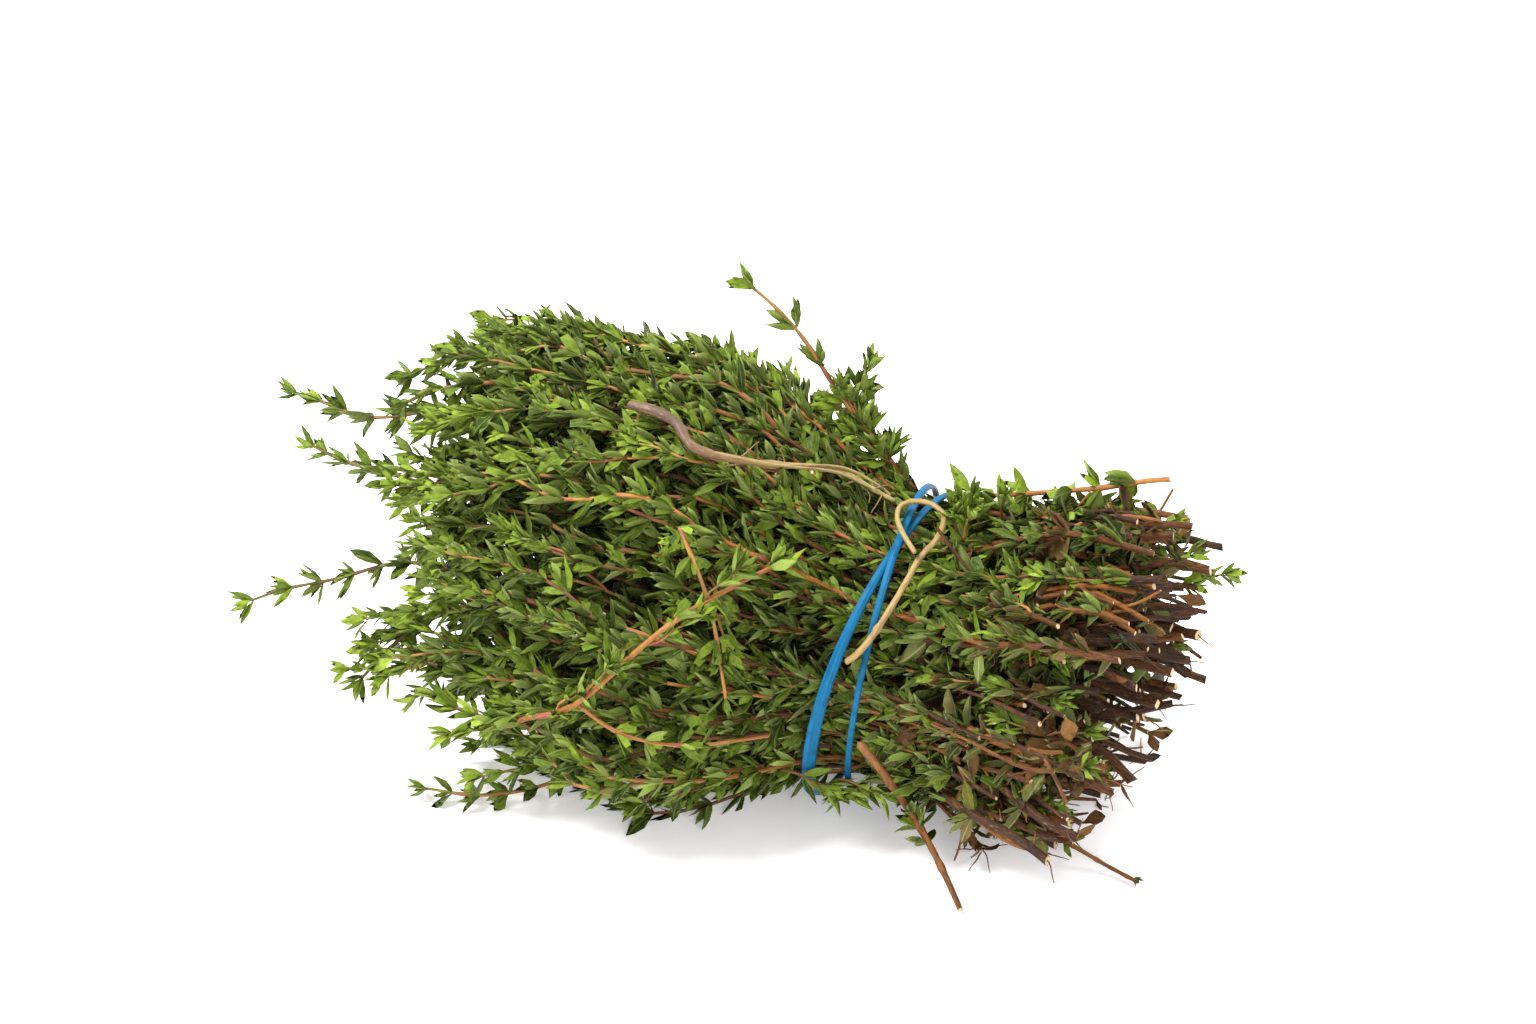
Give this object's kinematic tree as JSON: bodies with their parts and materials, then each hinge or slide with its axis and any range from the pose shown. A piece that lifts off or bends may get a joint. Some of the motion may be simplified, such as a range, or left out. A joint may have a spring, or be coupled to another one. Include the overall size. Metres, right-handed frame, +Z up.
{
  "type": "thyme bundle",
  "caption": "Bunch of cut thyme sprigs lying on its side, flared at the leafy end, held at the waist by a doubled rubber band.",
  "frame": {"origin": "centre of the bounding box's underside, on the surface the bundle lies on", "axes": "+X along the bundle from the leafy tips to the cut ends, +Z up"},
  "size_m": [0.209, 0.1236, 0.1087],
  "materials": {
    "thyme_sprig": "satin",
    "cut_stem": "matte",
    "dry_stem": "matte",
    "blue_rubber": "satin"
  },
  "bodies": {
    "root": {"cross_twig": "thyme_sprig", "crossing_sprig": "thyme_sprig", "curled_tendril": "dry_stem", "floor_sprig": "thyme_sprig", "floor_twig": "cut_stem", "low_stem": "cut_stem", "rubber_band": "blue_rubber", "sprig_01": "thyme_sprig", "sprig_02": "thyme_sprig", "sprig_03": "thyme_sprig", "sprig_04": "thyme_sprig", "sprig_05": "thyme_sprig", "sprig_06": "thyme_sprig", "sprig_07": "thyme_sprig", "sprig_08": "thyme_sprig", "sprig_09": "thyme_sprig", "sprig_10": "thyme_sprig", "sprig_11": "thyme_sprig", "sprig_12": "thyme_sprig", "sprig_13": "thyme_sprig", "sprig_14": "thyme_sprig", "sprig_15": "thyme_sprig", "sprig_16": "thyme_sprig", "sprig_17": "thyme_sprig", "sprig_18": "thyme_sprig", "sprig_19": "thyme_sprig", "sprig_20": "thyme_sprig", "sprig_21": "thyme_sprig", "sprig_22": "thyme_sprig", "sprig_23": "thyme_sprig", "sprig_24": "thyme_sprig", "sprig_25": "thyme_sprig", "sprig_26": "thyme_sprig", "sprig_27": "thyme_sprig", "sprig_28": "thyme_sprig", "sprig_29": "thyme_sprig", "sprig_30": "thyme_sprig", "sprig_31": "thyme_sprig", "sprig_32": "thyme_sprig", "sprig_33": "thyme_sprig", "sprig_34": "thyme_sprig", "sprig_35": "thyme_sprig", "sprig_36": "thyme_sprig", "sprig_37": "thyme_sprig", "sprig_38": "thyme_sprig", "sprig_39": "thyme_sprig", "sprig_40": "thyme_sprig", "sprig_41": "thyme_sprig", "sprig_42": "thyme_sprig", "sprig_43": "thyme_sprig", "sprig_44": "thyme_sprig", "sprig_45": "thyme_sprig", "sprig_46": "thyme_sprig", "sprig_47": "thyme_sprig", "sprig_48": "thyme_sprig", "sprig_49": "thyme_sprig", "sprig_50": "thyme_sprig", "tan_branch": "dry_stem", "top_stalk": "thyme_sprig", "upright_sprig": "thyme_sprig"}
  },
  "joints": []
}
